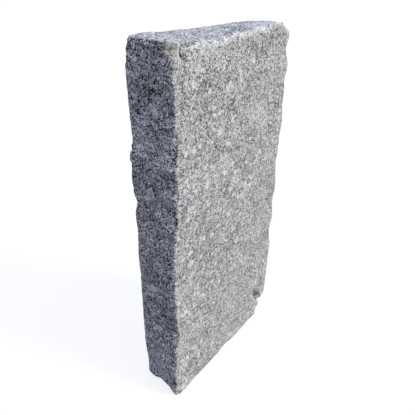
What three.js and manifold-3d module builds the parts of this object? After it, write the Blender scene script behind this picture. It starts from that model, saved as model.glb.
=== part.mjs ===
// Granite kerb stone: one block split from rock, standing on one end.
// Millimetres, +Z up. X runs across the two narrow sides and Y through the thickness,
// from the front broad face to the back one. The foot is the plane z = 0, and the
// origin is the middle of the stone's outline on it.

import * as THREE from "three";
import { mergeVertices } from "three/addons/utils/BufferGeometryUtils.js";
import { ImprovedNoise } from "three/addons/math/ImprovedNoise.js";
import Module from "manifold-3d";

// ---- The block ----
const WIDTH = 302; // between the two narrow sides: the kerb's height when it is laid
const THICKNESS = 82; // between the two broad faces
const LENGTH = 610; // from the foot to the top end

// ---- The largest steps between neighbouring points of a face ----
const STEP_ACROSS = 15;
const STEP_THROUGH = 10;
const STEP_UP = 9;

// ---- The split faces: how high their relief stands, and how long its waves are ----
const BROAD_RELIEF = 1.6;
const BROAD_WAVE = 60;
const NARROW_RELIEF = 4.4;
const NARROW_WAVE = 26;
const END_RELIEF = 2.6;
const END_WAVE = 30;
const RELIEF_RUN_IN = 10; // the relief grows over this distance from a face's edges

// ---- The arrises ----
const BRUISE = 1.2; // how far a knocked arris stands back from a sharp one
const BRUISE_BAND = 4.5; // width of the worn band on each side of an arris

// How far each upright arris stands out sideways from the block:
// [share of the length, mm], from the foot to the top.
const LEFT_FRONT_WANDER = [
  [0, 6.5], [0.02, 10.5], [0.06, 9.5], [0.1, 9.5], [0.13, 6], [0.18, 5], [0.21, 4],
  [0.25, 1], [0.28, 1], [0.32, 1.5], [0.37, 4.5], [0.42, 5.5], [0.48, 4.5], [0.51, 4],
  [0.55, 0], [0.6, -2], [0.66, -4.5], [0.69, -4], [0.73, -1], [0.77, -3], [0.8, -4],
  [0.84, -2], [0.88, -1], [0.91, 0], [0.95, 3.2], [1, 1.5],
];
const LEFT_BACK_WANDER = [
  [0, -4.5], [0.05, -5.3], [0.1, -2.2], [0.16, 0.6], [0.3, 1.2], [0.4, 1], [0.44, 2.6],
  [0.47, 2.8], [0.54, 1.3], [0.58, 3.5], [0.61, -1.2], [0.64, 4.5], [0.68, 6.3],
  [0.71, 4.4], [0.735, 7.5], [0.78, 0], [0.825, 2.3], [0.86, 3.2], [0.94, 4.5],
  [0.97, 2.5], [1, -1.5],
];
const RIGHT_FRONT_WANDER = [
  [0, 5], [0.08, 5], [0.14, 8.5], [0.2, 8.5], [0.27, 9.6], [0.345, 1], [0.39, 8.4],
  [0.46, 2.2], [0.51, 7.5], [0.56, 2.5], [0.6, -0.6], [0.63, 2], [0.66, 2.4],
  [0.725, 6.1], [0.78, 1.4], [0.82, 1.5], [0.85, -1.5], [0.885, 5.6], [0.905, 1],
  [0.93, -8], [0.955, -1], [1, 2],
];
const RIGHT_BACK_WANDER = [
  [0, 2], [0.12, 4.5], [0.25, 0], [0.38, 4], [0.52, 0.5], [0.66, 3.5], [0.8, -0.5],
  [0.92, 3], [1, -1.5],
];

// How far the top's two long arrises stand above the block: [share of the width, mm],
// from the left side to the right one.
const TOP_FRONT_RISE = [
  [0, 2], [0.07, -0.5], [0.17, -2], [0.32, -5], [0.38, -3], [0.45, 1], [0.65, 2.5],
  [0.83, 9], [1, 6],
];
const TOP_BACK_RISE = [
  [0, 2.4], [0.04, 5], [0.1, 4.8], [0.2, 3.4], [0.29, 3.6], [0.38, 2.9], [0.46, 2.6],
  [0.57, 2.8], [0.72, 3.4], [0.79, 2.4], [0.86, 2.5], [0.92, 4], [1, 0],
];

// How far the foot stands forward of the front broad face: [share of the width, mm],
// from the left side to the right one. It dies out at the stated height.
const FOOT_BULGE = [[0, 3.4], [0.06, 3], [0.15, 1.8], [0.25, 2.2], [0.35, 1.2], [1, 0.8]];
const FOOT_BULGE_HEIGHT = 110;

// ---- The scars ----
// A scar is the hollow that a flake leaves. It lies by one corner of the block, named by
// the sides that meet there, and "inset" is how far in from them its middle lies, along
// X, Y and Z. The blow points into the stone. Length runs along the arris named by
// "along", breadth across it, and depth is measured along the blow. A scar with a steeper
// rim than the others has a roundness of its own.
const LEFT = -1;
const RIGHT = 1;
const FRONT = -1;
const BACK = 1;
const FOOT = -1;
const TOP = 1;
const SCARS = [
  { // top corner of the left and front sides, knocked off: the part on the left side
    corner: [LEFT, FRONT, TOP], inset: [0, 0, 0], along: "z", blow: [0.83, 0.5, -0.25],
    length: 104, breadth: 64, depth: 9.6,
  },
  { // and the part on the front
    corner: [LEFT, FRONT, TOP], inset: [0, 0, 0], along: "z", blow: [0.72, 0.62, -0.34],
    length: 90, breadth: 56, depth: 9.6,
  },
  { // bite low on the left front arris
    corner: [LEFT, FRONT, FOOT], inset: [0, 0, 138], along: "z", blow: [0.93, 0.36, -0.05],
    length: 46, breadth: 34, depth: 7, roundness: 1.8,
  },
  { // smaller bite under it
    corner: [LEFT, FRONT, FOOT], inset: [0, 0, 94], along: "z", blow: [0.93, 0.36, 0],
    length: 30, breadth: 28, depth: 4,
  },
  { // arch under the foot on the left side
    corner: [LEFT, FRONT, FOOT], inset: [0, 39, 0], along: "y", blow: [0.86, 0, 0.5],
    length: 57, breadth: 44, depth: 7.8, roundness: 1.3,
  },
  { // chipped foot corner at the left and back
    corner: [LEFT, BACK, FOOT], inset: [0, 0, 0], along: "x", blow: [0.5, -0.8, 0.9],
    length: 34, breadth: 26, depth: 6,
  },
  { // chipped foot corner at the left and front
    corner: [LEFT, FRONT, FOOT], inset: [0, 0, 0], along: "z", blow: [0.55, 0.84, 0.12],
    length: 48, breadth: 40, depth: 6.4,
  },
  { // flat flake off the front, over the foot's right corner
    corner: [RIGHT, FRONT, FOOT], inset: [16, 0, 14], along: "z", blow: [-0.12, 1, 0.05],
    length: 62, breadth: 84, depth: 4.5,
  },
  { // small step above it
    corner: [RIGHT, FRONT, FOOT], inset: [33, 0, 62], along: "z", blow: [0.5, 0.76, 0.38],
    length: 64, breadth: 44, depth: 3, roundness: 2.4,
  },
  { // spall at the foot's right corner
    corner: [RIGHT, FRONT, FOOT], inset: [0, 8, 21], along: "y", blow: [-1, 0.1, 0.1],
    length: 96, breadth: 46, depth: 22,
  },
  { // its lower step
    corner: [RIGHT, FRONT, FOOT], inset: [24, 4, 0], along: "y", blow: [-0.9, 0.1, 0.8],
    length: 84, breadth: 38, depth: 13,
  },
  { // chipped top corner at the right and front
    corner: [RIGHT, FRONT, TOP], inset: [0, 0, 0], along: "x", blow: [-0.3, 0.42, -0.86],
    length: 110, breadth: 78, depth: 15,
  },
  { // bites in the foot's front arris
    corner: [RIGHT, FRONT, FOOT], inset: [66, 0, 0], along: "x", blow: [0, 0.6, 1],
    length: 34, breadth: 18, depth: 4.5,
  },
  {
    corner: [RIGHT, FRONT, FOOT], inset: [154, 0, 0], along: "x", blow: [0, 0.6, 1],
    length: 44, breadth: 18, depth: 4.5,
  },
  { // hollow in the top, behind its front arris
    corner: [RIGHT, FRONT, TOP], inset: [128, 34, 0], along: "x", blow: [0, 0.15, -1],
    length: 66, breadth: 46, depth: 6,
  },
];
const SCAR_ROUNDNESS = 3.2; // a hollow's radius, as a multiple of its depth
const SCAR_RIPPLE = 0.06; // unevenness of a hollow, as a share of its radius
const SCAR_SIDES = 24; // facets round a hollow

const GRANITE = new THREE.MeshStandardMaterial({
  name: "granite",
  color: 0xababac,
  roughness: 0.92,
  metalness: 0,
});

const { lerp, smoothstep } = THREE.MathUtils;
const noise = new ImprovedNoise();
const wasm = await Module();
wasm.setup();

// The value of a [share, mm] profile at a share, eased from point to point.
function readProfile(profile, share) {
  const next = profile.findIndex(([at]) => at >= share);
  if (next === 0) return profile[0][1];
  if (next === -1) return profile[profile.length - 1][1];
  const [fromShare, fromValue] = profile[next - 1];
  const [toShare, toValue] = profile[next];
  return lerp(fromValue, toValue, smoothstep(share, fromShare, toShare));
}

// Where a point of the squared block lies on the stone, before any relief: the sides are
// ruled between the four upright arrises, and the top between its two long ones.
function placeOnStone(point) {
  const across = point.x / WIDTH + 0.5;
  const through = point.y / THICKNESS + 0.5;
  const up = point.z / LENGTH;
  const left = lerp(
    readProfile(LEFT_FRONT_WANDER, up),
    readProfile(LEFT_BACK_WANDER, up),
    through,
  );
  const right = lerp(
    readProfile(RIGHT_FRONT_WANDER, up),
    readProfile(RIGHT_BACK_WANDER, up),
    through,
  );
  const rise = lerp(
    readProfile(TOP_FRONT_RISE, across),
    readProfile(TOP_BACK_RISE, across),
    through,
  );
  const forward = 1 - smoothstep(point.z, 0, FOOT_BULGE_HEIGHT);
  const bulge = readProfile(FOOT_BULGE, across) * forward * (1 - through);
  return new THREE.Vector3(
    point.x + lerp(-left, right, across),
    point.y - bulge,
    point.z + rise * up,
  );
}

// Outward height of a split face at a point: long swells with sharper ridges on them.
function splitRelief(point, height, wave) {
  const { x, y, z } = point.clone().divideScalar(wave);
  const swell = noise.noise(x, y, z);
  const ridge = 0.5 - 2 * Math.abs(noise.noise(2 * x + 7, 2 * y + 7, 2 * z + 7));
  return height * (swell + 0.4 * ridge);
}

// The faces that a point of the squared block lies on, each with its outward normal, its
// relief and the two other axes.
function facesAt(point) {
  const sides = [
    { axis: "x", at: WIDTH / 2, height: NARROW_RELIEF, wave: NARROW_WAVE },
    { axis: "y", at: THICKNESS / 2, height: BROAD_RELIEF, wave: BROAD_WAVE },
  ];
  const touching = sides
    .filter(({ axis, at }) => Math.abs(Math.abs(point[axis]) - at) < 0.001)
    .map((side) => ({ ...side, sign: Math.sign(point[side.axis]) }));
  if (point.z > LENGTH - 0.001)
    touching.push({ axis: "z", sign: 1, height: END_RELIEF, wave: END_WAVE });
  if (point.z < 0.001) touching.push({ axis: "z", sign: -1, height: 0, wave: END_WAVE });
  return touching;
}

// Distance from a point inside one face to the nearest arris of that face.
function distanceToArris(point, axis) {
  const gaps = {
    x: WIDTH / 2 - Math.abs(point.x),
    y: THICKNESS / 2 - Math.abs(point.y),
    z: Math.min(point.z, LENGTH - point.z),
  };
  delete gaps[axis];
  return Math.min(...Object.values(gaps));
}

// A grid line's place along one axis: even steps, with one more line close to each end
// that bounds the worn band of the arris there.
function gridLine(share, steps, size) {
  const line = Math.round(share * steps);
  if (line === 0) return 0;
  if (line === steps) return size;
  return lerp(BRUISE_BAND, size - BRUISE_BAND, (line - 1) / (steps - 2));
}

// The whole stone before any flake has come off.
function makeBlock() {
  const steps = [
    Math.ceil(WIDTH / STEP_ACROSS) + 2,
    Math.ceil(THICKNESS / STEP_THROUGH) + 2,
    Math.ceil(LENGTH / STEP_UP) + 2,
  ];
  const box = new THREE.BoxGeometry(1, 1, 1, ...steps);
  box.deleteAttribute("normal");
  box.deleteAttribute("uv");
  const block = mergeVertices(box);
  const position = block.getAttribute("position");
  for (let i = 0; i < position.count; i++) {
    const share = new THREE.Vector3().fromBufferAttribute(position, i).addScalar(0.5);
    const squared = new THREE.Vector3(
      gridLine(share.x, steps[0], WIDTH) - WIDTH / 2,
      gridLine(share.y, steps[1], THICKNESS) - THICKNESS / 2,
      gridLine(share.z, steps[2], LENGTH),
    );
    const placed = placeOnStone(squared);
    const faces = facesAt(squared);
    const onArris = faces.length > 1;
    for (const { axis, sign, height, wave } of faces) {
      const standsOnFloor = axis === "z" && sign < 0;
      if (onArris && !standsOnFloor) placed[axis] -= sign * BRUISE;
      if (onArris) continue;
      const runIn = smoothstep(distanceToArris(squared, axis), 0, RELIEF_RUN_IN);
      placed[axis] += sign * runIn * splitRelief(squared, height, wave);
    }
    position.setXYZ(i, placed.x, placed.y, placed.z);
  }
  return block;
}

// The body that cuts one scar: a flattened, slightly uneven ball, sunk into the stone by
// the scar's depth.
function makeScarCutter(scar) {
  const { corner, inset, along, blow, length, breadth, depth } = scar;
  const ball = new THREE.SphereGeometry(1, SCAR_SIDES, Math.ceil(SCAR_SIDES / 2));
  ball.deleteAttribute("normal");
  ball.deleteAttribute("uv");
  const cutter = mergeVertices(ball);
  const position = cutter.getAttribute("position");
  for (let i = 0; i < position.count; i++) {
    const point = new THREE.Vector3().fromBufferAttribute(position, i);
    const seed = length + inset[2];
    const bump = noise.noise(2 * point.x + seed, 2 * point.y, 2 * point.z);
    point.multiplyScalar(1 + SCAR_RIPPLE * bump);
    position.setXYZ(i, point.x, point.y, point.z);
  }

  // The ball's mouth, where the stone's surface cuts it, is as long and broad as stated.
  const radius = depth * (scar.roundness ?? SCAR_ROUNDNESS);
  const mouthShare = Math.sqrt(1 - ((radius - depth) / radius) ** 2);
  cutter.scale(length / 2 / mouthShare, breadth / 2 / mouthShare, radius);

  const inward = new THREE.Vector3(...blow).normalize();
  const arris = { x: [1, 0, 0], y: [0, 1, 0], z: [0, 0, 1] }[along];
  const lengthwise = new THREE.Vector3(...arris).projectOnPlane(inward).normalize();
  const crosswise = new THREE.Vector3().crossVectors(inward, lengthwise);
  cutter.applyMatrix4(new THREE.Matrix4().makeBasis(lengthwise, crosswise, inward));

  const nominal = new THREE.Vector3(
    corner[0] * (WIDTH / 2 - inset[0]),
    corner[1] * (THICKNESS / 2 - inset[1]),
    corner[2] === TOP ? LENGTH - inset[2] : inset[2],
  );
  const mouth = placeOnStone(nominal);
  const middle = mouth.addScaledVector(inward, depth - radius);
  cutter.translate(middle.x, middle.y, middle.z);
  return cutter;
}

function toSolid(geometry) {
  return new wasm.Manifold(
    new wasm.Mesh({
      numProp: 3,
      vertProperties: new Float32Array(geometry.getAttribute("position").array),
      triVerts: new Uint32Array(geometry.index.array),
    }),
  );
}

function toGeometry(solid) {
  const { vertProperties, triVerts } = solid.getMesh();
  const geometry = new THREE.BufferGeometry();
  geometry.setAttribute("position", new THREE.BufferAttribute(vertProperties, 3));
  geometry.setIndex(new THREE.BufferAttribute(triVerts, 1));
  return geometry;
}

function makeStone() {
  let solid = toSolid(makeBlock());
  for (const scar of SCARS) solid = solid.subtract(toSolid(makeScarCutter(scar)));
  const geometry = toGeometry(solid);
  geometry.computeBoundingBox();
  const middle = geometry.boundingBox.getCenter(new THREE.Vector3());
  geometry.translate(-middle.x, -middle.y, 0);
  geometry.computeVertexNormals();
  const stone = new THREE.Mesh(geometry, GRANITE);
  stone.name = "kerb_stone";
  return stone;
}

const kerb = new THREE.Group();
kerb.name = "granite_kerb";
kerb.add(makeStone());

export default kerb;
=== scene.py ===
"""Finish, light and camera for a granite kerb stone. Metres, +Z up.

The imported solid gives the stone's form: its split sides, wavering arrises and scars. This
script gives that form the fine relief of split granite, the crumbled and bruised band along
its arrises and the mineral grains of the rock, and stands it in a plain studio.
"""

import logging
import math
from dataclasses import dataclass, field, fields
from enum import Enum

import bpy
from mathutils import Matrix, Vector


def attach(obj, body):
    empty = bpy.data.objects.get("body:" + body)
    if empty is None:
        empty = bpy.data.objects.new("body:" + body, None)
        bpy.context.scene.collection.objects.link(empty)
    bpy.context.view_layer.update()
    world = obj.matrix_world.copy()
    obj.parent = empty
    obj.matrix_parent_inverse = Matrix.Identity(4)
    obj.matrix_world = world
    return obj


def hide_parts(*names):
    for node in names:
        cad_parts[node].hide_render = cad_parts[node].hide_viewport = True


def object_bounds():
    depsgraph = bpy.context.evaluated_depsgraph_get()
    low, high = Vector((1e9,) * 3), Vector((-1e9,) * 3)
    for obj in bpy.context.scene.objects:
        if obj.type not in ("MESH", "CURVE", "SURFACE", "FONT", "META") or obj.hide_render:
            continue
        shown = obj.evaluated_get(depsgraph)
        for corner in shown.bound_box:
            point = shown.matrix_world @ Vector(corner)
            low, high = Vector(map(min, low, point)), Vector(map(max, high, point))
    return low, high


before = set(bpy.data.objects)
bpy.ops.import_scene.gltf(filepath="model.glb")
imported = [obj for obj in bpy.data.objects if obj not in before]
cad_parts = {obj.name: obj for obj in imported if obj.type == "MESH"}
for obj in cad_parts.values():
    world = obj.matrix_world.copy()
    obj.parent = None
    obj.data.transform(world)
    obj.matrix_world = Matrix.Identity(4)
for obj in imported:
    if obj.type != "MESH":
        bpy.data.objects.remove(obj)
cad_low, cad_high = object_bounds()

logging.basicConfig(level=logging.INFO, format="%(message)s")
log = logging.getLogger("kerb")

Colour = tuple[float, float, float, float]
Point = tuple[float, float, float]
Tree = bpy.types.NodeTree
Sockets = bpy.types.NodeOutputs
Source = bpy.types.Node | bpy.types.NodeSocket  # a node stands for its first output in use
Limits = dict[str, float]  # what a Map Range node turns into 0 and into 1

VECTOR_MATH = "ShaderNodeVectorMath"
MAP_RANGE = "ShaderNodeMapRange"
NOISE = "ShaderNodeTexNoise"
VORONOI = "ShaderNodeTexVoronoi"
MIX = "ShaderNodeMix"
SEPARATE_XYZ = "ShaderNodeSeparateXYZ"
SET_POSITION = "GeometryNodeSetPosition"
BLUR = "GeometryNodeBlurAttribute"
EASED = {"interpolation_type": "SMOOTHSTEP"}  # gives a mask a soft rim

MM = 0.001
WHITE: Colour = (1.0, 1.0, 1.0, 1.0)
MIDDLE = 0.5  # of random numbers and noise
CENTRE: Point = (MIDDLE, MIDDLE, MIDDLE)


def linear(hex_colour: str) -> Colour:
    """Turn an sRGB hex colour into the linear colour that shaders use.

    Args:
        hex_colour: Six hex digits, such as "ababac".

    Returns:
        Linear red, green and blue, with an alpha of 1.
    """
    channels = [int(hex_colour[i : i + 2], 16) / 255 for i in (0, 2, 4)]
    red, green, blue = (c / 12.92 if c <= 0.04045 else ((c + 0.055) / 1.055) ** 2.4 for c in channels)
    return red, green, blue, 1.0


def add_node(
    tree: Tree, kind: str, inputs: dict[int | str, object] | None = None, **settings: object
) -> bpy.types.Node:
    """Add a node to a tree, set it up and link it.

    Args:
        tree: The shader or geometry tree that gets the node.
        kind: The node's type, such as NOISE or "ShaderNodeBump".
        inputs: For each input, by index or name, its value or the source that feeds it.
        settings: Properties of the node, such as its operation.

    Returns:
        The new node.
    """
    node = tree.nodes.new(kind)
    for name, value in settings.items():
        setattr(node, name, value)
    for key, value in (inputs or {}).items():
        if isinstance(key, int):
            socket = node.inputs[key]
        else:
            socket = next(s for s in node.inputs if s.name == key and s.enabled)
        if isinstance(value, bpy.types.Node):
            value = next(s for s in value.outputs if s.enabled)
        if isinstance(value, bpy.types.NodeSocket):
            tree.links.new(value, socket)
        else:
            socket.default_value = value
    return node


def maths(tree: Tree, operation: str, *values: float | Source) -> bpy.types.Node:
    """Add a node that works out a number.

    Args:
        tree: The tree that gets the node.
        operation: What it does with its values, such as "ADD".
        values: Its values in their order, or the sources that feed them.

    Returns:
        The new node.
    """
    return add_node(tree, "ShaderNodeMath", dict(enumerate(values)), operation=operation)


def vector_maths(tree: Tree, operation: str, *values: Point | Source) -> bpy.types.Node:
    """Add a node that works out a vector, or a number from vectors.

    Args:
        tree: The tree that gets the node.
        operation: What it does with its values, such as "ADD".
        values: Its values in their order, or the sources that feed them.

    Returns:
        The new node.
    """
    return add_node(tree, VECTOR_MATH, dict(enumerate(values)), operation=operation)


class Attribute(str, Enum):
    """Names of the masks that the relief leaves on the mesh for the granite to read."""

    ARRIS = "arris"  # 1 on the bruised band beside an arris
    ROUGH = "rough"  # 1 on the narrow sides, less on the broad faces and the top
    CRACK = "crack"  # 1 in the curved crack by the knocked corner


@dataclass(frozen=True)
class Patch:
    """A place where the granite's colour differs from the rest, or where light or shade is painted on
    it.

    Attributes:
        middle: Where it is, in millimetres.
        reach: How far it goes from there along X, Y and Z, in millimetres.
        pull: Towards pale minerals, or below 0 towards dark ones.
        tint: What it multiplies the colour by.
    """

    middle: Point
    reach: Point
    pull: float = 0.0
    tint: str = "ffffff"


PATCHES = (
    Patch((-148, -32, 606), (8, 9, 7), 0.0, "e6e3d2"),  # olive lichen on the chip
    Patch((-153, -26, 603), (6, 5, 10), 0.2, "ebe8dc"),  # pale lichen round the corner
    Patch((-151, -14, 608), (7, 6, 5), -0.3),  # knot of mica at the top's left arris
    Patch((-152, 10, 605), (9, 36, 12), -0.2),  # dark band under the left end of the top
    Patch((-152, -37, 584), (8, 7, 7), -0.2),  # knot of mica under the chip
    Patch((-154, 16, 588), (9, 9, 9), -0.12),  # dull spot high on the left side
    Patch((-146, 4, 613), (8, 14, 4), -0.15),  # dull left end of the top
    Patch((-60, -41, 600), (95, 9, 11), 0.1),  # paler zone under the front top arris
    Patch((36, -33, 611), (42, 10, 9), 0.25),  # fresh break at the top's right end
    Patch((88, -25, 617), (45, 26, 9), 0.2),  # and the pale top behind it
    Patch((-16, -28, 612), (12, 6, 6), -0.25, "dfe6f0"),  # painted bluish shade in the hollow behind the arris
    Patch((30, 4, 610), (26, 20, 7), -0.2, "e4eaf2"),  # painted bluish shade in the hollow in the top's middle
    Patch((-107, -40, 597), (20, 8, 14), 0.14),  # few flakes beside the crack
    Patch((-118, -39, 608), (13, 5, 4), -0.3),  # row of mica above it, under the arris
    Patch((-142, -41, 567), (8, 8, 9), 0.0, "f8f2ed"),  # faint pinkish feldspar
    Patch((-29, -41, 598), (8, 8, 7), 0.05, "f8f2ed"),
    Patch((-155, 14, 391), (9, 6, 6), 0.6),  # bright feldspar on the left side
    Patch((-155, -16, 403), (9, 10, 6), 0.55),
    Patch((-155, -7, 524), (9, 7, 7), 0.45),
    Patch((-155, 8, 225), (9, 8, 8), 0.3),
    Patch((-155, 29, 276), (9, 7, 7), 0.3),
    Patch((-155, 2, 141), (9, 8, 7), 0.25),
    Patch((-155, 0, 470), (9, 44, 20), 0.14),  # painted light and shade of ridges across that side, as paler and darker bands
    Patch((-155, 3, 425), (9, 44, 14), -0.14),
    Patch((-155, -1, 543), (9, 10, 9), -0.16),  # knots of mica on it
    Patch((-155, 0, 358), (9, 32, 10), -0.14),
    Patch((-155, 12, 205), (9, 28, 60), -0.08),  # painted light and shade on it, as slow changes of tone
    Patch((-155, 20, 490), (9, 14, 110), 0.08),
    Patch((-155, -12, 285), (9, 24, 40), -0.08),
    Patch((-155, -27, 165), (9, 16, 62), -0.17),
    Patch((-30, -41, 270), (70, 9, 50), -0.09),  # slow changes of tone on the front
    Patch((74, -41, 500), (45, 9, 45), 0.1),
    Patch((-115, -41, 437), (20, 9, 28), 0.1),
    Patch((-80, -41, 505), (35, 9, 50), -0.08),
    Patch((130, -41, 535), (13, 9, 50), 0.16),  # pale band along the right arris
    Patch((127, -35, 51), (9, 9, 10), -0.25, "d4d4d6"),  # painted shade in the hollow of the notch by the foot
    Patch((-79, -41, 402), (7, 8, 7), 0.4),  # large feldspar on the front
    Patch((19, -41, 253), (8, 8, 8), 0.4),
    Patch((-117, -41, 277), (7, 8, 8), 0.4),
)


@dataclass(frozen=True)
class Film:
    """A thin cover along a line, such as a film of dust or lichen or a fine scratch.

    Attributes:
        start: One end, in millimetres.
        end: The other end, in millimetres.
        half_width: From its middle to where it has faded out, in millimetres.
        strength: How much of the rock's colour it covers.
        colour: Its own colour.
    """

    start: Point
    end: Point
    half_width: float = 2.4
    strength: float = 0.6
    colour: str = "dedbc8"


FILMS = (
    Film((-131, -40, 119), (-88, -40, 142), 3.0, 0.85, "e8e5d4"),  # scratch low on the front
    Film((-152, -29, 607), (-145, -37, 606), 8.0, 0.45, "b9b7a9"),  # lichen on the chip
    Film((-152, -33, 596), (-149, -38, 588), 8.5, 0.5, "a39e98"),  # dust under it
    Film((-153, -28, 601), (-146, -38, 603), 2.2, 0.75),  # ridges in the lichen
    Film((-151, -29, 609), (-146, -35, 609), 2.0, 0.6),
)


# Where the granite's masks begin and where they are full.
MICA_END: Limits = {"From Min": 0.10, "From Max": 0.18}  # the minerals stop being mica
PATCH_FADE: Limits = {"From Min": 1.3, "From Max": 0.5}  # in shares of a patch's reach
FRESH_BREAK: Limits = {"From Min": 0.25, "From Max": 1.0}  # from a smooth face to a rough one
SMOOTH_FACE: Limits = {"From Min": 1.0, "From Max": 0.25}  # and the other way
SWARM: Limits = {"From Min": 0.35, "From Max": 0.65}  # from few large grains to many
GRAIN_RIM: Limits = {"From Min": 1.15, "From Max": 0.8}  # in shares of a large grain's radius
CHALKY: Limits = {"From Min": 0.36, "From Max": 0.58}  # from a clean arris to a bruised one
BROADSIDE: Limits = {"From Min": 0.4, "From Max": 0.8}  # from a narrow side to a broad face
UPRIGHT: Limits = {"From Min": 0.6, "From Max": 0.1, "To Min": 0.4}  # from a top to a side
SHADOWED_CRACK: Limits = {"From Max": 0.85}  # the crack's painted shadow is full a little before its middle


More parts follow.
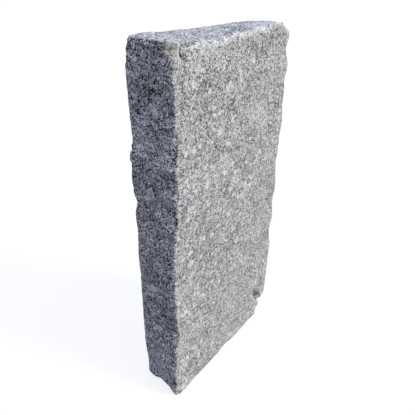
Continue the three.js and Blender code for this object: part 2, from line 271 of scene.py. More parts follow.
@dataclass(frozen=True)
class GreyGranite:
    """Medium-grained grey biotite granite, split and left rough.

    Pale feldspar makes most of the rock, with glassy grey quartz between its grains and
    black flecks of mica. Each grain breaks along its own plane, so the surface is dull but
    glitters a little; only the bruised grains along an arris go chalky and pale.
    """

    grain: float = 1.7 * MM  # common width of a grain
    cluster: float = 8 * MM  # width of a knot of like grains
    mottle: float = 30 * MM  # length of the slow changes of tone
    crystal: float = 17 * MM  # distance between large feldspar crystals
    crystal_radius: float = 4.4 * MM
    crystal_share: float = 0.45  # of the places that hold a large crystal
    flake: float = 6 * MM  # distance between large mica flakes
    flake_radius: float = 1.7 * MM
    flake_share: float = 0.4
    cluster_pull: float = 0.6  # how strongly a knot favours one mineral
    mottle_pull: float = 0.6
    fresh_spread: float = 0.3  # how much more the minerals differ on a fresh break
    crystal_pull: float = 0.55
    flake_pull: float = -0.5
    broken_whole: float = 0.3  # how much of a large grain a break across it shows
    raggedness: float = 0.5  # unevenness of a grain's outline, as a share of its width
    facet_tilt: float = 0.9  # how far a grain's broken face turns
    grit: float = 0.35 * MM  # height of the roughness of one grain
    ior: float = 1.53  # of feldspar and quartz
    roughness: float = 0.88
    mica_roughness: float = 0.5
    sheen: float = 0.1  # low, because the rough grains hide most of their own gloss
    chalk: str = "e2e2de"
    chalk_share: float = 0.45
    dust: str = "a7a7a7"
    dust_share: float = 0.24  # of a smooth face, which keeps more dust than a rough one
    # painted shadow in the curved crack, near black
    crack: str = "1c1b1a"
    patches: tuple[Patch, ...] = PATCHES
    films: tuple[Film, ...] = FILMS

    # Where a grain's random number, from 0 to 1, crosses from one mineral to the next.
    minerals: tuple[tuple[float, str], ...] = (
        (0.00, "1d1d22"),  # mica
        (0.11, "36363b"),
        (0.23, "737374"),  # quartz
        (0.39, "9b9b9b"),
        (0.51, "b9b9b9"),  # feldspar
        (0.78, "cfcecd"),
        (1.00, "edecea"),
    )

    def build(self) -> bpy.types.Material:
        """Build the granite's material.

        Returns:
            A material that reads Object coordinates and the mesh's masks.
        """
        material = bpy.data.materials.new("split_grey_granite")
        material.use_nodes = True
        tree = material.node_tree
        tree.nodes.clear()
        place = add_node(tree, "ShaderNodeTexCoord").outputs["Object"]
        wavy = self._warp(tree, place)
        cells = add_node(tree, VORONOI, {"Vector": wavy, "Scale": 1 / self.grain})
        chance = cells.outputs["Color"]
        masks: dict[Attribute, Source] = {
            name: add_node(tree, "ShaderNodeAttribute", attribute_name=name.value).outputs["Fac"]
            for name in Attribute
        }
        near = [self._nearness(tree, wavy, patch) for patch in self.patches]
        rough = masks[Attribute.ROUGH]
        pick = self._pick(tree, place, wavy, chance, near, rough)
        colour = self._stain_and_shade(tree, self._minerals(tree, pick), near)
        covers = self._weather(tree, place, masks)
        covers += [(self._along(tree, wavy, film), film.colour) for film in self.films]
        for share, cover in covers:
            colour = add_node(
                tree, MIX, {"Factor": share, "A": colour, "B": linear(cover)}, data_type="RGBA"
            )
        normal = self._facets(tree, place, chance, rough)
        polish = add_node(
            tree,
            MAP_RANGE,
            {"Value": pick, **MICA_END, "To Min": self.mica_roughness, "To Max": self.roughness},
        )
        surface = add_node(
            tree,
            "ShaderNodeBsdfPrincipled",
            {
                "Base Color": colour,
                "Roughness": polish,
                "IOR": self.ior,
                "Specular IOR Level": self.sheen,
                "Normal": normal,
            },
        )
        add_node(tree, "ShaderNodeOutputMaterial", {"Surface": surface})
        return material

    def _warp(self, tree: Tree, place: Source) -> Source:
        """Shift the coordinates a little, so that grains have uneven outlines.

        Args:
            tree: The material's tree.
            place: The Object coordinates.

        Returns:
            The shifted coordinates.
        """
        noise = add_node(tree, NOISE, {"Vector": place, "Scale": 1 / self.grain, "Detail": 2.0})
        centred = vector_maths(tree, "SUBTRACT", noise.outputs["Color"], CENTRE)
        return vector_maths(tree, "MULTIPLY_ADD", centred, (self.raggedness * self.grain,) * 3, place)

    def _nearness(self, tree: Tree, place: Source, patch: Patch) -> Source:
        """Mask one patch, fading out towards its rim.

        Args:
            tree: The material's tree.
            place: The coordinates.
            patch: The patch.

        Returns:
            1 in the patch's middle, 0 outside it.
        """
        away = vector_maths(tree, "SUBTRACT", place, tuple(Vector(patch.middle) * MM))
        scaled = vector_maths(tree, "DIVIDE", away, tuple(Vector(patch.reach) * MM))
        distance = vector_maths(tree, "LENGTH", scaled)
        return add_node(tree, MAP_RANGE, {"Value": distance, **PATCH_FADE}, **EASED)

    def _pick(
        self, tree: Tree, place: Source, wavy: Source, chance: Source, near: list[Source], rough: Source
    ) -> Source:
        """Draw each grain's mineral, with like grains in knots and a few large grains.

        Args:
            tree: The material's tree.
            place: The Object coordinates.
            wavy: The same, shifted to give uneven outlines.
            chance: Each grain's random colour.
            near: The masks of the patches.
            rough: The mask of the rough faces.

        Returns:
            A number from 0 to 1 that tells the mineral.
        """
        pick = add_node(tree, "ShaderNodeSeparateColor", {"Color": chance}).outputs["Red"]
        for width, pull in ((self.cluster, self.cluster_pull), (self.mottle, self.mottle_pull)):
            noise = add_node(tree, NOISE, {"Vector": place, "Scale": 1 / width, "Detail": 2.0})
            pull_here = maths(tree, "MULTIPLY_ADD", noise.outputs["Fac"], pull, -pull * MIDDLE)
            pick = maths(tree, "ADD", pick, pull_here)
        off_middle = maths(tree, "SUBTRACT", pick, MIDDLE)
        fresh = maths(tree, "MULTIPLY_ADD", rough, self.fresh_spread, 1.0)
        pick = maths(tree, "MULTIPLY_ADD", off_middle, fresh, MIDDLE)
        whole = add_node(
            tree, MAP_RANGE, {"Value": rough, **FRESH_BREAK, "To Min": 1.0, "To Max": self.broken_whole}
        )
        # the patches' pulls also paint light and shade: in the top's hollows, in the notch by the foot
        # and across the left side
        pulls = [(mask, patch.pull) for mask, patch in zip(near, self.patches) if patch.pull]
        for distance, radius, share, pull in (
            (self.crystal, self.crystal_radius, self.crystal_share, self.crystal_pull),
            (self.flake, self.flake_radius, self.flake_share, self.flake_pull),
        ):
            mask = maths(
                tree, "MULTIPLY", self._large_grains(tree, wavy, distance, radius, share), whole
            )
            pulls.append((mask, pull))
        for mask, pull in pulls:
            pick = maths(tree, "MULTIPLY_ADD", mask, pull, pick)
        return pick

    def _large_grains(
        self, tree: Tree, place: Source, distance: float, radius: float, share: float
    ) -> Source:
        """Mask the scattered grains that are larger than the rest.

        Args:
            tree: The material's tree.
            place: The Object coordinates.
            distance: How far apart they may lie.
            radius: How large they are.
            share: How many of their places hold one.

        Returns:
            1 in a large grain, 0 outside it.
        """
        large = add_node(tree, VORONOI, {"Vector": place, "Scale": 1 / distance})
        chance = add_node(
            tree, "ShaderNodeSeparateColor", {"Color": large.outputs["Color"]}
        ).outputs["Red"]
        swarm = add_node(tree, NOISE, {"Vector": place, "Scale": 1 / (4 * distance), "Detail": 1.0})
        share_here = add_node(
            tree, MAP_RANGE, {"Value": swarm.outputs["Fac"], **SWARM, "To Max": 2 * share}
        )
        here = maths(tree, "LESS_THAN", chance, share_here)
        rim = {limit: part * radius / distance for limit, part in GRAIN_RIM.items()}
        inside = add_node(tree, MAP_RANGE, {"Value": large.outputs["Distance"], **rim}, **EASED)
        return maths(tree, "MULTIPLY", inside, here)

    def _minerals(self, tree: Tree, pick: Source) -> Source:
        """Colour each grain by its mineral.

        Args:
            tree: The material's tree.
            pick: The number that tells the mineral.

        Returns:
            The grain's colour.
        """
        ramp = add_node(tree, "ShaderNodeValToRGB", {"Fac": pick})
        stops = ramp.color_ramp.elements
        stops.remove(stops[1])
        stops[0].position = self.minerals[0][0]
        stops[0].color = linear(self.minerals[0][1])
        for position, colour in self.minerals[1:]:
            stops.new(position).color = linear(colour)
        return ramp.outputs["Color"]

    def _stain_and_shade(self, tree: Tree, colour: Source, near: list[Source]) -> Source:
        """Tint the patches that have a colour of their own: real stains, and painted shade in the top's
        hollows and the notch by the foot.

        Args:
            tree: The material's tree.
            colour: The fresh rock's colour.
            near: The masks of the patches.

        Returns:
            The tinted colour.
        """
        for mask, patch in zip(near, self.patches):
            if patch.tint == Patch.tint:
                continue
            colour = add_node(
                tree,
                MIX,
                {"Factor": mask, "A": colour, "B": linear(patch.tint)},
                data_type="RGBA",
                blend_type="MULTIPLY",
            )
        return colour

    def _weather(
        self, tree: Tree, place: Source, masks: dict[Attribute, Source]
    ) -> list[tuple[Source, str]]:
        """Mask the dust on smooth faces, the bruises by the broad faces' arrises and the painted shadow
        in the crack.

        Args:
            tree: The material's tree.
            place: The Object coordinates.
            masks: The masks that the relief left on the mesh.

        Returns:
            The mask and the colour of each cover, with the lowest first.
        """
        dust = add_node(
            tree, MAP_RANGE, {"Value": masks[Attribute.ROUGH], **SMOOTH_FACE, "To Max": self.dust_share}
        )
        clouds = add_node(tree, NOISE, {"Vector": place, "Scale": 1 / self.cluster, "Detail": 3.0})
        bruise = add_node(
            tree, MAP_RANGE, {"Value": clouds.outputs["Fac"], **CHALKY, "To Max": self.chalk_share}
        )
        turn = add_node(tree, "ShaderNodeNewGeometry").outputs["Normal"]
        facing = add_node(tree, SEPARATE_XYZ, {0: turn}).outputs
        broadside = maths(tree, "ABSOLUTE", facing["Y"])
        for value, limits in (
            (masks[Attribute.ARRIS], {}), (broadside, BROADSIDE), (facing["Z"], UPRIGHT)
        ):
            here = add_node(tree, MAP_RANGE, {"Value": value, **limits})
            bruise = maths(tree, "MULTIPLY", bruise, here)
        # painted shadow: the crack is coloured near black
        black = add_node(tree, MAP_RANGE, {"Value": masks[Attribute.CRACK], **SHADOWED_CRACK})
        return [(dust, self.dust), (bruise, self.chalk), (black, self.crack)]

    def _along(self, tree: Tree, place: Source, film: Film) -> Source:
        """Mask one film, fading out away from its line.

        Args:
            tree: The material's tree.
            place: The coordinates.
            film: The film.

        Returns:
            The film's strength on its line, 0 away from it.
        """
        start = Vector(film.start) * MM
        run = Vector(film.end) * MM - start
        away = vector_maths(tree, "SUBTRACT", place, tuple(start))
        along = vector_maths(tree, "DOT_PRODUCT", away, tuple(run / run.length_squared))
        share = add_node(tree, "ShaderNodeClamp", {"Value": along})
        nearest = add_node(tree, VECTOR_MATH, {0: tuple(run), "Scale": share}, operation="SCALE")
        aside = vector_maths(tree, "DISTANCE", away, nearest)
        reach = {"From Min": film.half_width * MM, "From Max": 0.0, "To Max": film.strength}
        return add_node(tree, MAP_RANGE, {"Value": aside, **reach}, **EASED)

    def _facets(self, tree: Tree, place: Source, chance: Source, rough: Source) -> Source:
        """Turn each grain's face its own way and roughen it.

        Args:
            tree: The material's tree.
            place: The Object coordinates.
            chance: Each grain's random colour.
            rough: The mask of the rough faces.

        Returns:
            The normal for shading.
        """
        smooth = add_node(tree, "ShaderNodeNewGeometry").outputs["Normal"]
        centred = vector_maths(tree, "SUBTRACT", chance, CENTRE)
        amount = maths(tree, "MULTIPLY", rough, self.facet_tilt)
        tilt = add_node(tree, VECTOR_MATH, {0: centred, "Scale": amount}, operation="SCALE")
        turned = vector_maths(tree, "ADD", smooth, tilt)
        unit = vector_maths(tree, "NORMALIZE", turned)
        grit = add_node(
            tree,
            NOISE,
            {"Vector": place, "Scale": 1 / (2 * self.grain), "Detail": 4.0, "Roughness": 0.65},
        )
        bump = add_node(
            tree,
            "ShaderNodeBump",
            {"Strength": 1.0, "Distance": self.grit, "Height": grit.outputs["Fac"], "Normal": unit},
        )
        return bump.outputs["Normal"]


# Where the relief's masks begin and where they are full.
FACING: Limits = {"From Min": 0.6, "From Max": 0.95}  # a normal turns to face along an axis
TURNING: Limits = {"From Min": 0.97, "From Max": 0.84}  # a normal turns away from every axis
FLAT_FACE: Limits = {"From Min": 0.3, "From Max": 0.0}  # by the smoothed mask of the arrises
BESIDE_ARRIS: Limits = {"From Min": 0.08, "From Max": 0.3}
SLENDER: Limits = {"From Min": 0.95, "From Max": 0.7}  # off the knobs that are arris all over
CALMER: Limits = {"From Min": 0.3, "From Max": 1.0, "To Min": 1.0, "To Max": 0.35}  # on an arris
ABOVE_FOOT: Limits = {"From Min": 1 * MM, "From Max": 5 * MM}
OFF_FOOT: Limits = {"From Min": -0.9, "From Max": -0.5}  # a normal turns away from the ground
SCOOP: Limits = {"From Min": 0.15, "From Max": 0.85, "To Min": -0.6, "To Max": 0.6}
SWELL: Limits = {"To Min": -1.3, "To Max": 1.3}  # heights, in shares of a face's relief
GRAIN_SWING: Limits = {"To Min": -1.0, "To Max": 1.0}
STEP_RIM: Limits = {"From Min": 1.0, "From Max": 0.0}  # in shares of the step's reach
LOWER_LEFT: Limits = {"From Min": -3 * MM, "From Max": 9 * MM}  # from the crack's middle
DOWN_LEFT: Point = (-0.7, 0, -0.7)
LOOSE: Limits = {"From Min": 0.35, "From Max": 1.0}  # the random numbers whose crumb is gone
CRUMB_RIM: Limits = {"From Min": 0.75, "From Max": 0.25}  # in shares of a crumb's width

GRAIN_WIDTH = 4 * MM  # larger than the rock's grains, because the points are 1.6 mm apart

# What kind of input each of the relief's sizes is.
INPUT_KINDS = {float: "NodeSocketFloat", int: "NodeSocketInt", tuple: "NodeSocketVector"}


@dataclass(frozen=True)
class SplitRelief:
    """The relief that splitting leaves on the stone, as a Geometry Nodes tree.

    Attributes:
        broad: Height of the relief on the broad faces.
        narrow: Height of the relief on the narrow sides.
        end: Height of the relief on the top.
        everywhere: Height of the relief on any broken surface.
        hackle: Width of one shallow hollow between two ridges.
        stretch: How much wider than high such a hollow is.
        grain: Height of the roughness that the grains leave.
        crumb: Width of a crumb broken off an arris.
        crumb_depth: How deep such a crumb goes.
        facet: Width of one flat facet of a face that broke across the grain.
        facet_slope: How steeply such a facet may lean.
        smoothness: How much smoother than the narrow sides the rest is, from 0 to 1.
        crack_middle: Middle of the curved crack by the knocked corner.
        crack_radius: Radius of its curve.
        crack_width: Half of its width.
        crack_depth: How deep it goes.
        step_middle: Middle of the step in the left front arris, halfway up.
        step_reach: How far the step reaches from there, each way.
        step_depth: How far it sets the arris in from the left side.
        fairing: How often the flats are smoothed before they get their relief.
        turn_blur: How often the normals are smoothed before they tell the faces apart.
        arris_blur: How often the mask of the arrises is, to reach the band beside them.
        seed: Changes every random draw.
    """

    broad: float = 0.4 * MM
    narrow: float = 1.2 * MM
    end: float = 0.8 * MM
    everywhere: float = 0.3 * MM
    hackle: float = 12 * MM
    stretch: float = 1.45
    grain: float = 0.6 * MM
    crumb: float = 7 * MM
    crumb_depth: float = 1.9 * MM
    facet: float = 9 * MM
    facet_slope: float = 0.8
    smoothness: float = 0.75
    crack_middle: Point = (-0.1295, -0.0398, 0.6015)
    crack_radius: float = 9.8 * MM
    crack_width: float = 1.8 * MM
    crack_depth: float = 2.0 * MM
    step_middle: Point = (-0.1495, -0.0400, 0.4720)
    step_reach: Point = (0.0140, 0.0200, 0.0500)
    step_depth: float = 4.0 * MM
    fairing: int = 8
    turn_blur: int = 8
    arris_blur: int = 14
    seed: float = 4.0

    def inputs(self) -> dict[str, float | int | Point]:
        """Name each size as the tree's inputs do, so that crumb_depth is "Crumb depth".

        Returns:
            The size for each input's name.
        """
        return {
            size.name.replace("_", " ").capitalize(): getattr(self, size.name)
            for size in fields(self)
        }

    def build(self) -> Tree:
        """Build the tree.

        Returns:
            A geometry tree with a named input for each size.
        """
        tree = bpy.data.node_groups.new("split_relief", "GeometryNodeTree")
        face = tree.interface
        face.new_socket("Geometry", in_out="INPUT", socket_type="NodeSocketGeometry")
        for name, value in self.inputs().items():
            face.new_socket(name, in_out="INPUT", socket_type=INPUT_KINDS[type(value)])
        for name in ("Low", "High"):
            face.new_socket(name, in_out="INPUT", socket_type="NodeSocketVector")
        face.new_socket("Granite", in_out="INPUT", socket_type="NodeSocketMaterial")
        face.new_socket("Geometry", in_out="OUTPUT", socket_type="NodeSocketGeometry")
        given = add_node(tree, "NodeGroupInput").outputs

        place = add_node(tree, "GeometryNodeInputPosition")
        normal = add_node(tree, "GeometryNodeInputNormal")
        soft_normal = add_node(
            tree, BLUR, {"Value": normal, "Iterations": given["Turn blur"]}, data_type="FLOAT_VECTOR"
        )
        unit = vector_maths(tree, "NORMALIZE", soft_normal)
        size = vector_maths(tree, "ABSOLUTE", unit)
        parts = add_node(tree, SEPARATE_XYZ, {0: size}).outputs
        upward = add_node(tree, SEPARATE_XYZ, {0: unit}).outputs["Z"]
        side = maths(tree, "MAXIMUM", parts["X"], parts["Y"])
        flat = maths(tree, "MAXIMUM", side, parts["Z"])
        arris = add_node(tree, MAP_RANGE, {"Value": flat, **TURNING}, **EASED)
        calm = maths(tree, "MAXIMUM", parts["Y"], upward)
        smoothed = add_node(tree, MAP_RANGE, {"Value": calm, **FACING, "To Max": given["Smoothness"]})
        rough = maths(tree, "SUBTRACT", 1.0, smoothed)
        by_arris = add_node(tree, BLUR, {"Value": arris, "Iterations": given["Arris blur"]})
        inside = add_node(tree, MAP_RANGE, {"Value": by_arris, **FLAT_FACE}, **EASED)
        slender = add_node(tree, MAP_RANGE, {"Value": by_arris, **SLENDER}, **EASED)
        worn = maths(tree, "MULTIPLY", arris, slender)
        near_arris = add_node(tree, MAP_RANGE, {"Value": by_arris, **BESIDE_ARRIS})
        bruised = maths(tree, "MULTIPLY", near_arris, slender)
        crack = self._crack(tree, place, given)
        shape = self._fair(tree, given, place, arris)
        for name, mask in (
            (Attribute.ARRIS, bruised), (Attribute.ROUGH, rough), (Attribute.CRACK, crack)
        ):
            shape = add_node(
                tree,
                "GeometryNodeStoreNamedAttribute",
                {"Geometry": shape, "Name": name.value, "Value": mask},
                data_type="FLOAT",
                domain="POINT",
            )

        depth: float | Source = 0.0
        for name, value in (("Broad", parts["Y"]), ("Narrow", parts["X"]), ("End", upward)):
            share = add_node(tree, MAP_RANGE, {"Value": value, **FACING}, **EASED)
            depth = maths(tree, "MULTIPLY_ADD", share, given[name], depth)
        depth = maths(tree, "MULTIPLY_ADD", depth, inside, given["Everywhere"])
        relief = maths(tree, "MULTIPLY", depth, self._hackle(tree, place, given))
        fine = maths(
            tree,
            "MULTIPLY_ADD",
            self._facets(tree, place, given),
            inside,
            self._grain(tree, place, given),
        )
        calmer = add_node(tree, MAP_RANGE, {"Value": by_arris, **CALMER})
        uneven = maths(tree, "MULTIPLY", rough, calmer)
        outward = maths(tree, "MULTIPLY_ADD", fine, uneven, relief)
        opened = maths(tree, "MULTIPLY", crack, given["Crack depth"])
        for cut in (self._crumbs(tree, place, given, worn), opened):
            outward = maths(tree, "SUBTRACT", outward, cut)
        kept = self._off_the_foot(tree, place, upward)
        outward = maths(tree, "MULTIPLY", outward, kept)
        offset = add_node(tree, VECTOR_MATH, {0: unit, "Scale": outward}, operation="SCALE")
        shape = add_node(tree, SET_POSITION, {"Geometry": shape, "Offset": offset})
        boxed = place
        for corner, operation in (("Low", "MAXIMUM"), ("High", "MINIMUM")):
            boxed = vector_maths(tree, operation, boxed, given[corner])
        shape = add_node(tree, SET_POSITION, {"Geometry": shape, "Position": boxed})
        real = add_node(tree, "GeometryNodeRealizeInstances", {"Geometry": shape})
        dressed = add_node(
            tree, "GeometryNodeSetMaterial", {"Geometry": real, "Material": given["Granite"]}
        )
        add_node(tree, "NodeGroupOutput", {0: dressed})
        return tree

    def _fair(self, tree: Tree, given: Sockets, place: Source, arris: Source) -> Source:
        """Smooth the flats, where the solid is made of small facets, and keep the arrises.

        Args:
            tree: The geometry tree.
            given: The tree's inputs.
            place: The points' positions.
            arris: The mask of the arrises.

        Returns:
            The smoothed geometry.
        """
        flatness = maths(tree, "SUBTRACT", 1.0, arris)
        faired = add_node(
            tree,
            BLUR,
            {"Value": place, "Iterations": given["Fairing"], "Weight": flatness},
            data_type="FLOAT_VECTOR",
        )
        return add_node(
            tree, SET_POSITION, {"Geometry": self._step(tree, given, place), "Position": faired}
        )

    def _step(self, tree: Tree, given: Sockets, place: Source) -> Source:
        """Set the left front arris in where a thin flake came off beside it.

        Args:
            tree: The geometry tree.
            given: The tree's inputs.
            place: The points' positions.

        Returns:
            The geometry with a step in that arris.
        """
        away = vector_maths(tree, "SUBTRACT", place, given["Step middle"])
        shares = vector_maths(tree, "DIVIDE", away, given["Step reach"])
        distance = vector_maths(tree, "LENGTH", shares)
        inward = add_node(
            tree, MAP_RANGE, {"Value": distance, **STEP_RIM, "To Max": given["Step depth"]}, **EASED
        )
        aside = add_node(tree, "ShaderNodeCombineXYZ", {"X": inward})
        return add_node(tree, SET_POSITION, {"Geometry": given["Geometry"], "Offset": aside})

    def _off_the_foot(self, tree: Tree, place: Source, upward: Source) -> Source:
        """Leave the bearing surface under the stone flat.

        Args:
            tree: The geometry tree.
            place: The points' positions.
            upward: How far each point's normal turns up, from -1 to 1.

        Returns:
            0 on the bearing surface and 1 elsewhere.
        """
        height = add_node(tree, SEPARATE_XYZ, {0: place}).outputs["Z"]
        above = add_node(tree, MAP_RANGE, {"Value": height, **ABOVE_FOOT})
        sideways = add_node(tree, MAP_RANGE, {"Value": upward, **OFF_FOOT})
        return maths(tree, "MAXIMUM", above, sideways)

    def _hackle(self, tree: Tree, place: Source, given: Sockets) -> Source:
        """Shape the shallow hollows and ridges of a split face.

        Args:
            tree: The geometry tree.
            place: The points' positions.
            given: The tree's inputs.

        Returns:
            A height from about -1 to 1.
        """
        scale = maths(tree, "DIVIDE", 1.0, given["Hackle"])
        bend = add_node(
            tree,
            NOISE,
            {"Vector": place, "W": given["Seed"], "Scale": scale, "Detail": 2.0},
            noise_dimensions="4D",
        )
        centred = vector_maths(tree, "SUBTRACT", bend.outputs["Color"], CENTRE)
        shift = add_node(tree, VECTOR_MATH, {0: centred, "Scale": given["Hackle"]}, operation="SCALE")
        bent = vector_maths(tree, "ADD", place, shift)
        squash = add_node(tree, "ShaderNodeCombineXYZ", {"X": 1.0, "Y": 1.0, "Z": given["Stretch"]})
        squashed = vector_maths(tree, "MULTIPLY", bent, squash)
        hollow = add_node(
            tree,
            VORONOI,
            {"Vector": squashed, "W": given["Seed"], "Scale": scale, "Smoothness": 0.25},
            voronoi_dimensions="4D",
            feature="SMOOTH_F1",
        )
        scoop = add_node(tree, MAP_RANGE, {"Value": hollow.outputs["Distance"], **SCOOP})
        swell = add_node(
            tree,
            NOISE,
            {"Vector": place, "W": given["Seed"], "Scale": scale, "Detail": 5.0, "Roughness": 0.6},
            noise_dimensions="4D",
        )
        swing = add_node(tree, MAP_RANGE, {"Value": swell.outputs["Fac"], **SWELL})
        return maths(tree, "ADD", scoop, swing)

    def _grain(self, tree: Tree, place: Source, given: Sockets) -> Source:
        """Shape the roughness that the broken grains leave.

        Args:
            tree: The geometry tree.
            place: The points' positions.
            given: The tree's inputs.

        Returns:
            A height in metres.
        """
        noise = add_node(
            tree,
            NOISE,
            {"Vector": place, "W": given["Seed"], "Scale": 1 / GRAIN_WIDTH, "Detail": 1.0},
            noise_dimensions="4D",
        )
        swing = add_node(tree, MAP_RANGE, {"Value": noise.outputs["Fac"], **GRAIN_SWING})
        return maths(tree, "MULTIPLY", swing, given["Grain"])

    def _facets(self, tree: Tree, place: Source, given: Sockets) -> Source:
        """Shape the small flats, each leaning its own way, of a break across the grain.

        Args:
            tree: The geometry tree.
            place: The points' positions.
            given: The tree's inputs.

        Returns:
            A height in metres.
        """
        scale = maths(tree, "DIVIDE", 1.0, given["Facet"])
        cells = add_node(
            tree,
            VORONOI,
            {"Vector": place, "W": given["Seed"], "Scale": scale},
            voronoi_dimensions="4D",
        )
        lean = vector_maths(tree, "SUBTRACT", cells.outputs["Color"], CENTRE)
        away = vector_maths(tree, "SUBTRACT", place, cells.outputs["Position"])
        rise = vector_maths(tree, "DOT_PRODUCT", lean, away)
        return maths(tree, "MULTIPLY", rise, given["Facet slope"])

    def _crack(self, tree: Tree, place: Source, given: Sockets) -> Source:
        """Mask the curved crack: the lower left of a ring on the front broad face.

        Args:
            tree: The geometry tree.
            place: The points' positions.
            given: The tree's inputs.

        Returns:
            1 in the middle of the crack, 0 beside it.
        """
        away = vector_maths(tree, "SUBTRACT", place, given["Crack middle"])
        distance = vector_maths(tree, "LENGTH", away)
        off_line = maths(tree, "SUBTRACT", distance, given["Crack radius"])
        aside = maths(tree, "ABSOLUTE", off_line)
        ring = add_node(
            tree,
            MAP_RANGE,
            {"Value": aside, "From Min": given["Crack width"], "From Max": 0.0},
            **EASED,
        )
        lower_left = vector_maths(tree, "DOT_PRODUCT", away, DOWN_LEFT)
        half = add_node(tree, MAP_RANGE, {"Value": lower_left, **LOWER_LEFT})
        return maths(tree, "MULTIPLY", ring, half)

    def _crumbs(self, tree: Tree, place: Source, given: Sockets, arris: Source) -> Source:
        """Shape the crumbs that are missing from an arris.

        Args:
            tree: The geometry tree.
            place: The points' positions.
            given: The tree's inputs.
            arris: The mask of the arrises.

        Returns:
            A depth in metres.
        """
        scale = maths(tree, "DIVIDE", 1.0, given["Crumb"])
        bites = add_node(
            tree,
            VORONOI,
            {"Vector": place, "W": given["Seed"], "Scale": scale},
            voronoi_dimensions="4D",
        )
        chance = add_node(tree, SEPARATE_XYZ, {0: bites.outputs["Color"]}).outputs["X"]
        strength = add_node(tree, MAP_RANGE, {"Value": chance, **LOOSE})
        hollow = add_node(tree, MAP_RANGE, {"Value": bites.outputs["Distance"], **CRUMB_RIM})
        bite = maths(tree, "MULTIPLY", strength, hollow)
        masked = maths(tree, "MULTIPLY", bite, arris)
        return maths(tree, "MULTIPLY", masked, given["Crumb depth"])


@dataclass
class KerbStone:
    """The stone: one block, which rides on the part's only body.

    Attributes:
        node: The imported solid's name.
        weld_gap: Corners of the solid closer than this are one.
        point_spacing: Distance between the points that take the relief.
        face_limit: The most triangles that the finished piece may have.
        low_margin: How far the relief keeps off the solid's box at its low sides, in millimetres.
        high_margin: The same at its high sides.
        relief: The relief of its split faces.
        granite: Its finish.
    """

    node: str = "kerb_stone"
    weld_gap: float = 0.01 * MM
    point_spacing: float = 1.6 * MM
    face_limit: int = 192000
    low_margin: Point = (0.15, 0.15, 0.02)
    high_margin: Point = (0.15, 0.15, 0.15)
    relief: SplitRelief = field(default_factory=SplitRelief)
    granite: GreyGranite = field(default_factory=GreyGranite)

    def build(self) -> bpy.types.Object:
        """Make the dressed stone and tell the frame what it stands for.

        Returns:
            The finished piece.
        """
        rough = self._refined_copy()
        self._add_relief(rough)
        piece = self._plain_piece(self._thinned(self._plain_piece(rough)))
        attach(piece, "root")
        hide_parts(self.node)
        return piece

    def _refined_copy(self) -> bpy.types.Object:
        """Copy the solid and give the copy evenly spaced points.

        Returns:
            An object with a live remesh.
        """
        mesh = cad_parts[self.node].data.copy()
        stone = bpy.data.objects.new("rough_block", mesh)
        bpy.context.scene.collection.objects.link(stone)
        weld = stone.modifiers.new("weld", "WELD")
        weld.merge_threshold = self.weld_gap
        remesh = stone.modifiers.new("even_points", "REMESH")
        remesh.mode = "VOXEL"
        remesh.voxel_size = self.point_spacing
        remesh.use_smooth_shade = True
        return stone

    def _add_relief(self, stone: bpy.types.Object) -> None:
        """Cut the relief into the stone.

        Args:
            stone: The object that gets the relief as a modifier.
        """
        tree = self.relief.build()
        modifier = stone.modifiers.new("split_relief", "NODES")
        modifier.node_group = tree
        values = self.relief.inputs() | {
            "Low": tuple(Vector(cad_low) + Vector(self.low_margin) * MM),
            "High": tuple(Vector(cad_high) - Vector(self.high_margin) * MM),
            "Granite": self.granite.build(),
        }
        for item in tree.interface.items_tree:
            if item.in_out == "INPUT" and item.name in values:
                modifier[item.identifier] = values[item.name]

    def _thinned(self, stone: bpy.types.Object) -> bpy.types.Object:
        """Let the flatter parts have fewer faces than the arrises.

        Args:
            stone: The finely meshed stone.

        Returns:
            The same object, with a live decimation.
        """
        triangles = sum(len(face.vertices) - 2 for face in stone.data.polygons)
        thin = stone.modifiers.new("fewer_flat_faces", "DECIMATE")
        thin.ratio = min(1.0, self.face_limit / triangles)
        return stone

    def _plain_piece(self, stone: bpy.types.Object) -> bpy.types.Object:
        """Turn an object with modifiers into a plain mesh.

        Args:
            stone: The object, which this removes.

        Returns:
            A new object with no modifiers.
        """
        evaluated = stone.evaluated_get(bpy.context.evaluated_depsgraph_get())
        mesh = bpy.data.meshes.new_from_object(evaluated)
        mesh.name = "granite_block"
        stone.modifiers.clear()
        bpy.data.objects.remove(stone)
        piece = bpy.data.objects.new("granite_block", mesh)
        bpy.context.scene.collection.objects.link(piece)
        return piece


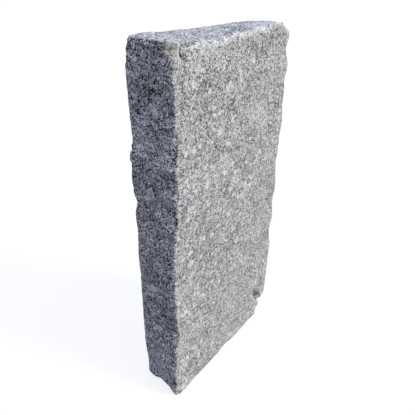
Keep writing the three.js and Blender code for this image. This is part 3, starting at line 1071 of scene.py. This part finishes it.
@dataclass(frozen=True)
class Studio:
    """A plain pale floor, a soft sun from the right and a pale blue sky.

    Attributes:
        floor_radius: How far the floor reaches.
        floor_corners: How many corners its rim has.
        sun_level: Light of the sun on a surface that faces it.
        sun_tint: Colour of the sun's light.
        sun_from: Direction towards the sun.
        sun_softness: The sun's width, in degrees.
        sky_level: Brightness of the sky overhead.
        horizon_tint: Colour of the light from low in the sky.
        zenith_tint: Colour of the light from overhead.
        floor_glow: Share of the floor's white that no shadow takes away.
        floor_bounce: Colour of the light that the floor throws back.
    """

    floor_radius: float = 25.0
    floor_corners: int = 96
    sun_level: float = 0.815
    sun_tint: Point = (1.03, 1.0, 0.885)
    sun_from: Point = (0.30, -0.80, 0.52)
    sun_softness: float = 20.0
    sky_level: float = 1.13
    horizon_tint: Point = (0.94, 0.97, 1.32)
    zenith_tint: Point = (0.85, 0.945, 1.27)
    floor_glow: float = 0.82
    floor_bounce: float = 0.215

    def build(self) -> None:
        """Build the floor, the sun and the sky."""
        self._floor()
        self._sun()
        self._sky()

    def _floor(self) -> None:
        """Lay the floor, white to the camera and grey to the light that it throws back."""
        bpy.ops.mesh.primitive_circle_add(
            vertices=self.floor_corners, radius=self.floor_radius, fill_type="NGON", location=(0, 0, 0)
        )
        floor = bpy.context.active_object
        floor.name = "studio_floor"
        material = bpy.data.materials.new("pale_floor")
        material.use_nodes = True
        tree = material.node_tree
        tree.nodes.clear()
        grey = (self.floor_bounce,) * 3 + (1.0,)
        matte = add_node(tree, "ShaderNodeBsdfDiffuse", {"Color": grey})
        glow = add_node(tree, "ShaderNodeEmission", {"Color": WHITE, "Strength": self.floor_glow})
        lit = add_node(tree, "ShaderNodeAddShader", {0: matte, 1: glow})
        shows = self._shows_background(tree)
        mixed = add_node(tree, "ShaderNodeMixShader", {0: shows, 1: matte, 2: lit})
        add_node(tree, "ShaderNodeOutputMaterial", {"Surface": mixed})
        floor.data.materials.append(material)

    def _shows_background(self, tree: Tree) -> Source:
        """Tell the rays that see the background from those that carry light.

        Args:
            tree: The tree that gets the nodes.

        Returns:
            A source that is 1 for camera, glossy and transmission rays.
        """
        path = add_node(tree, "ShaderNodeLightPath").outputs
        seen = maths(tree, "MAXIMUM", path["Is Camera Ray"], path["Is Glossy Ray"])
        return maths(tree, "MAXIMUM", seen, path["Is Transmission Ray"])

    def _sun(self) -> None:
        """Hang the sun."""
        lamp = bpy.data.lights.new("soft_sun", "SUN")
        lamp.energy = self.sun_level * math.pi
        lamp.color = self.sun_tint
        lamp.angle = math.radians(self.sun_softness)
        sun = bpy.data.objects.new("soft_sun", lamp)
        sun.rotation_euler = Vector(self.sun_from).to_track_quat("Z", "Y").to_euler()
        bpy.context.scene.collection.objects.link(sun)

    def _sky(self) -> None:
        """Paint the sky: brightest overhead for light, plain white where it is seen."""
        world = bpy.data.worlds.new("pale_sky")
        world.use_nodes = True
        tree = world.node_tree
        tree.nodes.clear()
        direction = add_node(tree, "ShaderNodeTexCoord").outputs["Generated"]
        height = add_node(tree, SEPARATE_XYZ, {0: direction}).outputs["Z"]
        level = add_node(tree, MAP_RANGE, {"Value": height, "To Max": self.sky_level})
        tint = add_node(
            tree,
            MIX,
            {"Factor": height, "A": self.horizon_tint + (1.0,), "B": self.zenith_tint + (1.0,)},
            data_type="RGBA",
        )
        light = add_node(tree, "ShaderNodeBackground", {"Color": tint, "Strength": level})
        white = add_node(tree, "ShaderNodeBackground", {"Color": WHITE, "Strength": 1.0})
        mixed = add_node(
            tree, "ShaderNodeMixShader", {0: self._shows_background(tree), 1: light, 2: white}
        )
        add_node(tree, "ShaderNodeOutputWorld", {"Surface": mixed})
        bpy.context.scene.world = world


@dataclass(frozen=True)
class Viewpoint:
    """A camera held above the stone's left front arris, looking down on it.

    Attributes:
        position: Where it stands, in metres.
        heading: Degrees that it looks to the right of +Y.
        pitch: Degrees that it looks down.
        roll: Degrees that it leans.
        lens: Focal length, in millimetres.
        sensor: Width of the sensor, in millimetres.
    """

    position: Point = (-0.55392, -0.38616, 0.6843)
    heading: float = 54.12
    pitch: float = 28.68
    roll: float = 1.42
    lens: float = 37.195
    sensor: float = 36.0

    def build(self) -> None:
        """Set up the camera and make it the scene's."""
        data = bpy.data.cameras.new("camera")
        data.sensor_width = self.sensor
        data.lens = self.lens
        camera = bpy.data.objects.new("camera", data)
        turn = (
            Matrix.Rotation(-math.radians(self.heading), 4, "Z")
            @ Matrix.Rotation(math.radians(90 - self.pitch), 4, "X")
            @ Matrix.Rotation(math.radians(self.roll), 4, "Z")
        )
        camera.matrix_world = Matrix.Translation(self.position) @ turn
        bpy.context.scene.collection.objects.link(camera)
        bpy.context.scene.camera = camera


def main() -> None:
    """Build the stone, the studio and the camera, and note the model's size."""
    scene = bpy.context.scene
    scene.view_settings.view_transform = "Standard"
    Viewpoint().build()
    Studio().build()
    stone = KerbStone().build()
    log.info("%s: %d faces", stone.name, len(stone.data.polygons))


if __name__ == "__main__":
    main()
